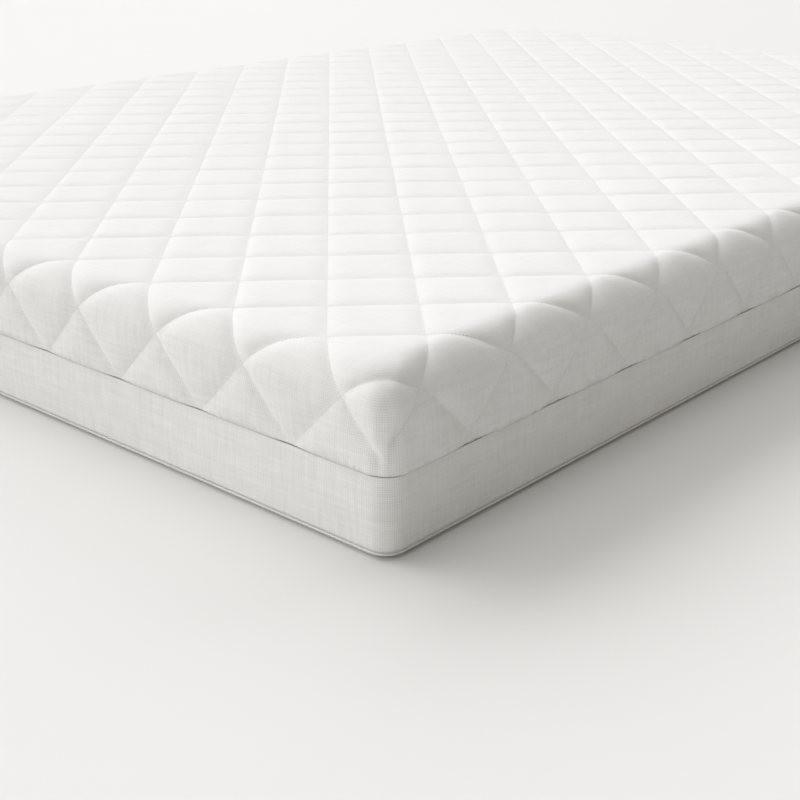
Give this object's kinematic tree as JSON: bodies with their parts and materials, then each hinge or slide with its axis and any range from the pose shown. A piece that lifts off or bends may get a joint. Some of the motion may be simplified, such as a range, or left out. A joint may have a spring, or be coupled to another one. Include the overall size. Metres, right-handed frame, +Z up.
{
  "type": "memory foam mattress",
  "caption": "Double memory foam mattress in a zip-off fabric cover, quilted in diamonds on top and over the rounded edge, plain below a concealed zip.",
  "frame": {"origin": "on the floor, under the middle of the mattress", "axes": "+X across the width, +Y along the length towards the head side where the zip's slider runs, +Z up"},
  "size_m": [1.401, 2.0055, 0.16],
  "materials": {
    "quilted_ticking": "matte",
    "plain_ticking": "matte",
    "bottom_cloth": "matte",
    "binding": "matte",
    "wadding": "matte",
    "scrim": "matte",
    "sleeve_knit": "matte",
    "memory_foam": "matte",
    "transition_foam": "matte",
    "support_foam": "matte",
    "adhesive": "satin",
    "zip_tape": "matte",
    "zip_teeth": "satin",
    "zip_metal": "satin",
    "label_satin": "satin"
  },
  "bodies": {
    "mattress_base": {"memory_foam_slab": "memory_foam", "upper_adhesive_layer": "adhesive", "transition_foam_slab": "transition_foam", "lower_adhesive_layer": "adhesive", "support_foam_block": "support_foam", "inner_sleeve": "sleeve_knit", "lower_border_ticking": "plain_ticking", "lower_border_padding": "wadding", "bottom_panel": "bottom_cloth", "bottom_edge_binding": "binding", "lower_zip_tape": "zip_tape", "lower_zip_coil": "zip_teeth", "lower_zip_end_stop": "zip_teeth", "zip_retainer_box": "zip_teeth", "zip_end_patch": "plain_ticking", "care_label": "label_satin"},
    "top_cover": {"top_quilted_ticking": "quilted_ticking", "top_wadding": "wadding", "top_backing_scrim": "scrim", "upper_zip_tape": "zip_tape", "upper_zip_coil": "zip_teeth", "upper_zip_end_stop": "zip_teeth", "zip_insertion_pin": "zip_teeth"},
    "zip_slider": {"zip_slider_body": "zip_metal"},
    "zip_pull": {"zip_pull_tab": "zip_metal"}
  },
  "joints": [
    {"name": "top_cover_lift", "type": "slide", "parent": "mattress_base", "child": "top_cover", "axis": [0, 0, 1], "range_m": [0, 0.15]},
    {"name": "zip_slider_run", "type": "slide", "parent": "mattress_base", "child": "zip_slider", "axis": [1, 0, 0], "range_m": [0, 1.2]},
    {"name": "zip_pull_swing", "type": "hinge", "parent": "zip_slider", "child": "zip_pull", "pos_m": [-0.59, 1.0025, 0.074], "axis": [0, 0, 1], "range_deg": [-180, 0]}
  ]
}
